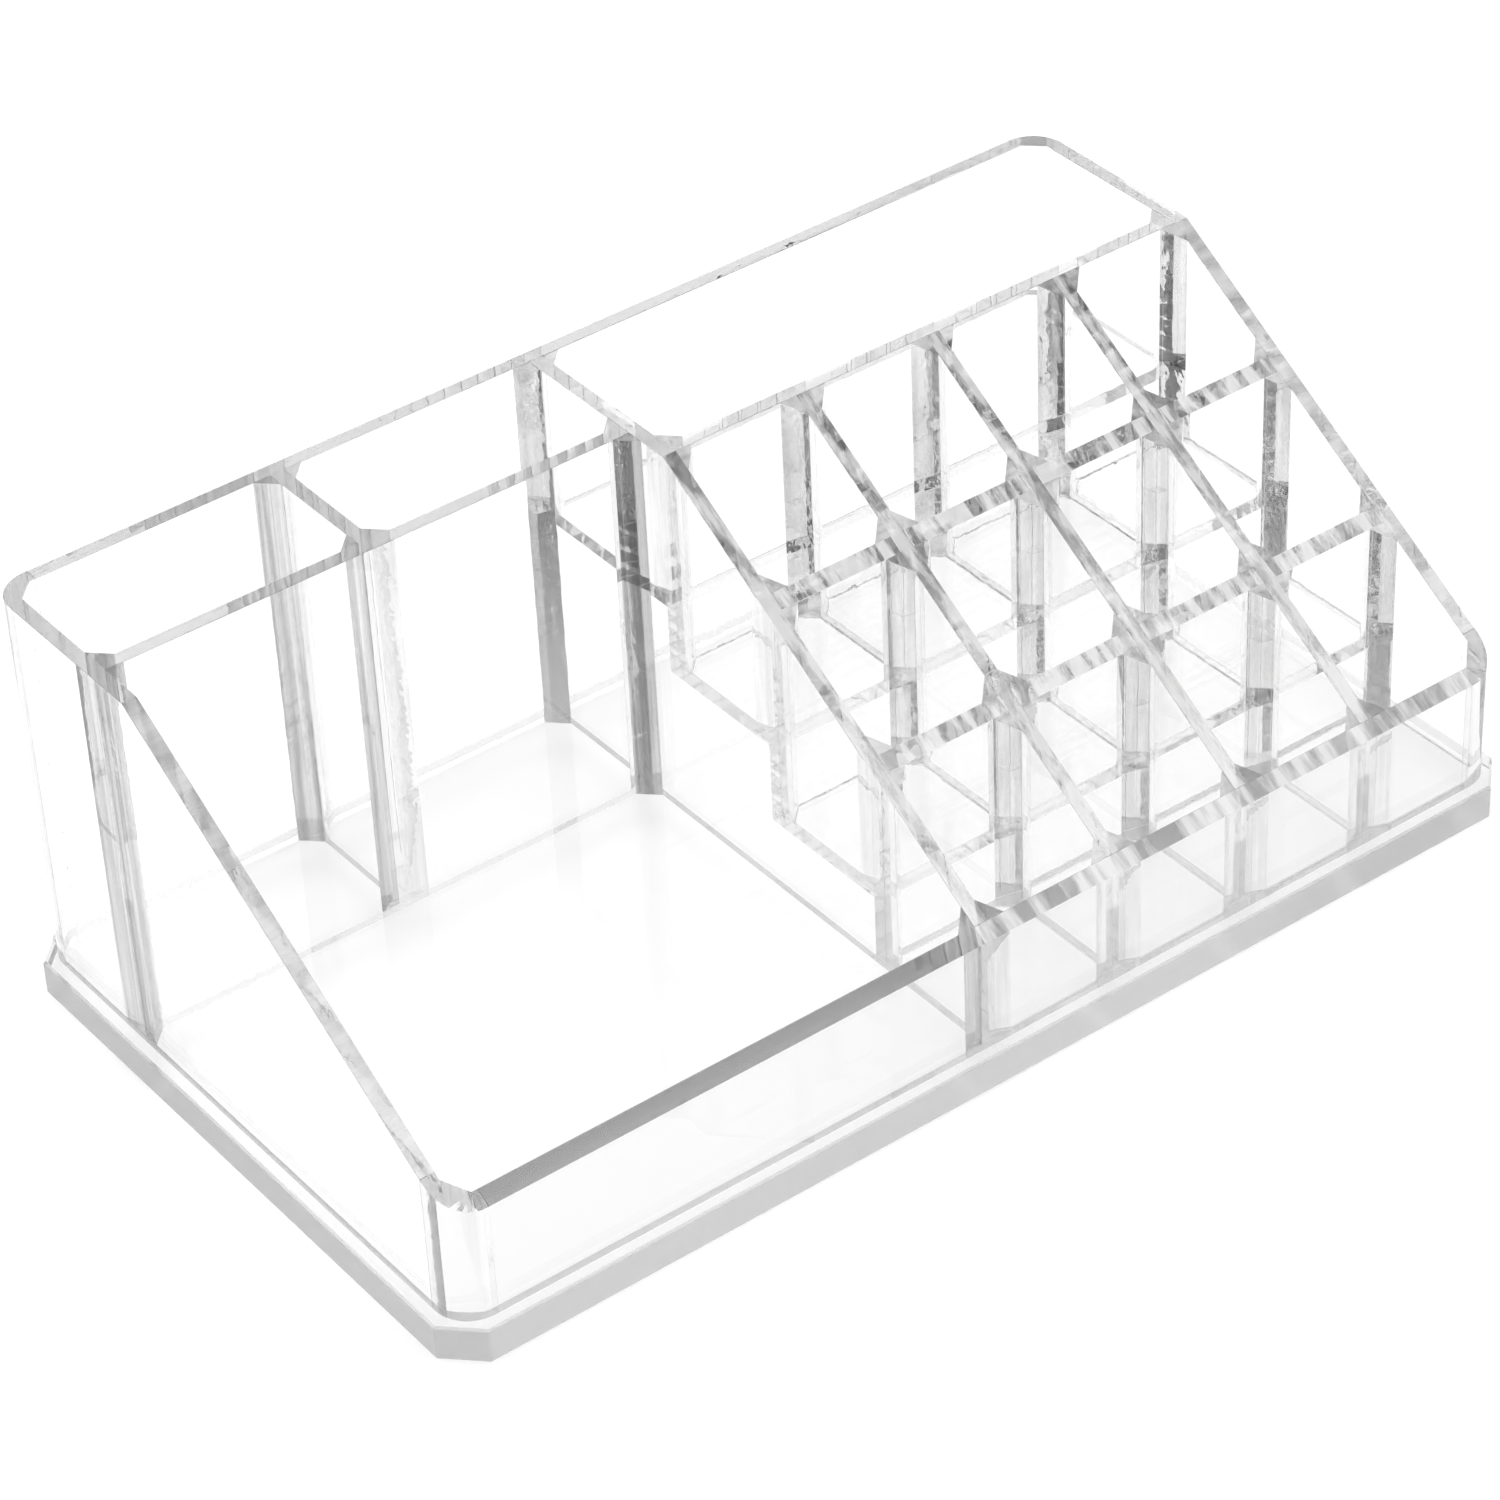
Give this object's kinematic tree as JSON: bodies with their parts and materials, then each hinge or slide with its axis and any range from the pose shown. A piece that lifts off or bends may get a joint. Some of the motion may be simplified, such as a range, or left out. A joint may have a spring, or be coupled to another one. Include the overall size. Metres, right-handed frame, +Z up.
{
  "type": "cosmetic organizer",
  "caption": "Clear desk organizer for cosmetics with tall bins and a tray at the left, a raised tray at the back right and a sloping stair of lipstick cells at the front right.",
  "frame": {"origin": "centre of the underside of the base plate, on the table", "axes": "+X to the right along the front, +Y to the back, +Z up"},
  "size_m": [0.22, 0.1256, 0.0794],
  "materials": {
    "clear_acrylic": "clear, polished"
  },
  "bodies": {
    "root": {"base_plate": "clear_acrylic", "back_wall": "clear_acrylic", "left_side_wall": "clear_acrylic", "right_side_wall": "clear_acrylic", "front_wall": "clear_acrylic", "rear_corner_posts": "clear_acrylic", "front_corner_posts": "clear_acrylic", "bin_front_wall": "clear_acrylic", "bin_divider": "clear_acrylic", "stair_side_wall": "clear_acrylic", "tray_floor": "clear_acrylic", "rear_row_shelf": "clear_acrylic", "middle_row_shelf": "clear_acrylic", "tray_front_wall": "clear_acrylic", "rear_row_wall": "clear_acrylic", "front_row_wall": "clear_acrylic", "left_lipstick_divider": "clear_acrylic", "middle_lipstick_divider": "clear_acrylic", "right_lipstick_divider": "clear_acrylic", "left_bin_corner_strips": "clear_acrylic", "middle_bin_corner_strips": "clear_acrylic", "back_tray_corner_strips": "clear_acrylic", "front_tray_corner_strips": "clear_acrylic", "rear_row_corner_strips": "clear_acrylic", "middle_row_corner_strips": "clear_acrylic", "front_row_corner_strips": "clear_acrylic"}
  },
  "joints": []
}
